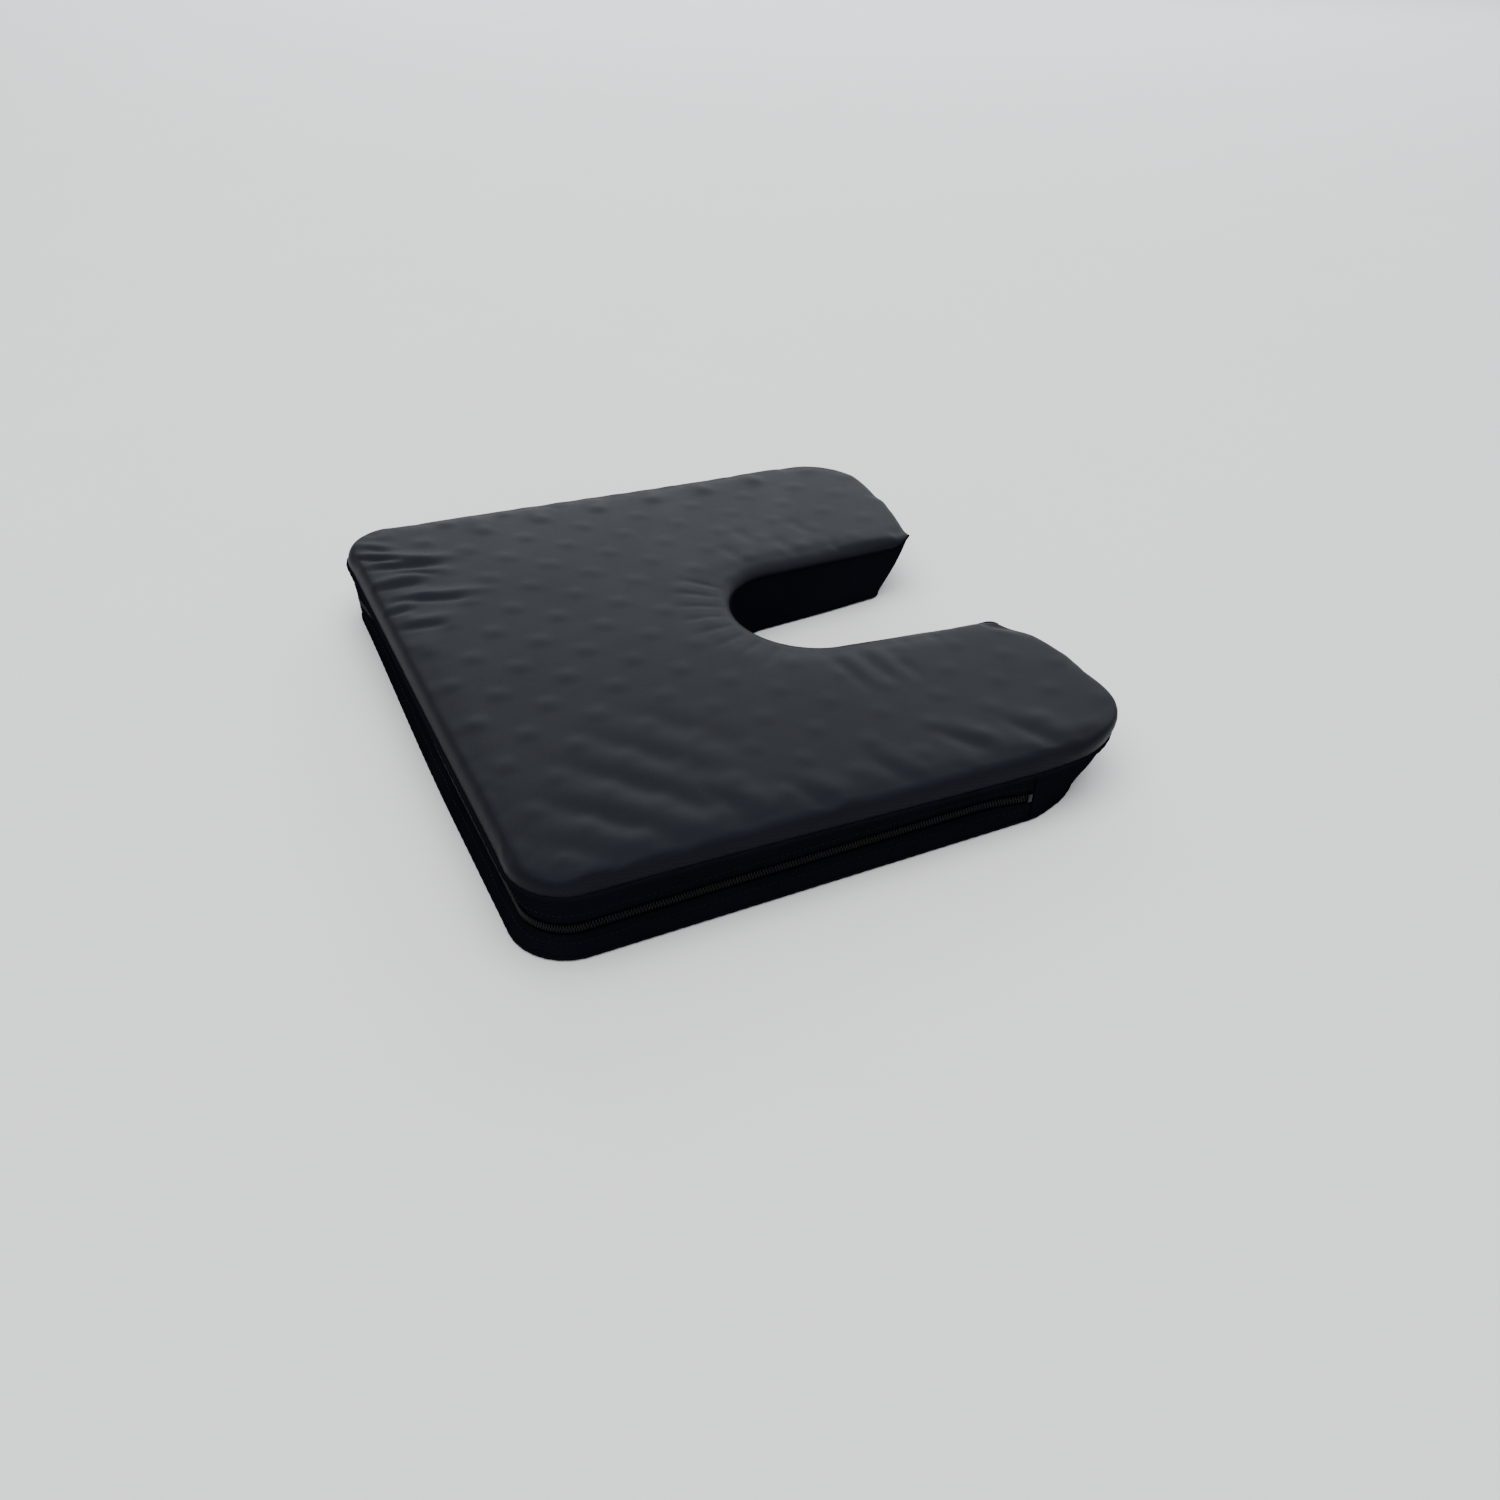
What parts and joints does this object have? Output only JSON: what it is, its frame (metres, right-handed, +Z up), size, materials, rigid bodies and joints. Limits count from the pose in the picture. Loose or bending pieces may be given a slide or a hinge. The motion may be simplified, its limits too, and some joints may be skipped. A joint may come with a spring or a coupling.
{
  "type": "seat cushion",
  "caption": "Zipped foam seat cushion with a rounded square outline, a crowned top and a tailbone slot open at the back.",
  "frame": {"origin": "middle of the underside, on the surface the cushion lies on", "axes": "+Z up out of the seat, +Y from the front edge towards the open end of the tailbone slot, +X across the width, towards the sitter's left"},
  "size_m": [0.3588, 0.3375, 0.046],
  "materials": {
    "top_fabric": "smooth woven polyester with a satin sheen",
    "side_fabric": "smooth woven polyester, black",
    "base_fabric": "plain woven polyester, matte",
    "foam_firm": "open-cell polyurethane foam, firm grade",
    "foam_soft": "open-cell polyurethane foam, egg-crate face",
    "zip_tape": "woven tape",
    "zip_coil": "nylon coil",
    "zip_metal": "black enamelled zinc"
  },
  "bodies": {
    "cushion": {"foam_base": "foam_firm", "foam_topper": "foam_soft", "top_panel": "top_fabric", "base_panel": "base_fabric", "upper_gusset": "side_fabric", "lower_gusset": "side_fabric", "back_gusset_left": "side_fabric", "back_gusset_right": "side_fabric", "slot_gusset": "side_fabric", "top_welt": "side_fabric", "zip_tape_lower": "zip_tape", "zip_tape_upper": "zip_tape", "zip_coil_lower": "zip_coil", "zip_coil_upper": "zip_coil", "zip_end_stop_left": "zip_metal", "zip_end_stop_right": "zip_metal"},
    "slider": {"zip_slider": "zip_metal"},
    "pull": {"zip_pull": "zip_metal"}
  },
  "joints": [
    {"name": "zip_slide", "type": "slide", "parent": "cushion", "child": "slider", "axis": [0, -1, 0], "range_m": [0, 0.225]},
    {"name": "pull_hinge", "type": "hinge", "parent": "slider", "child": "pull", "pos_m": [-0.17925, 0.0895, 0.015], "axis": [0, 0, -1], "range_deg": [0, 180]}
  ]
}
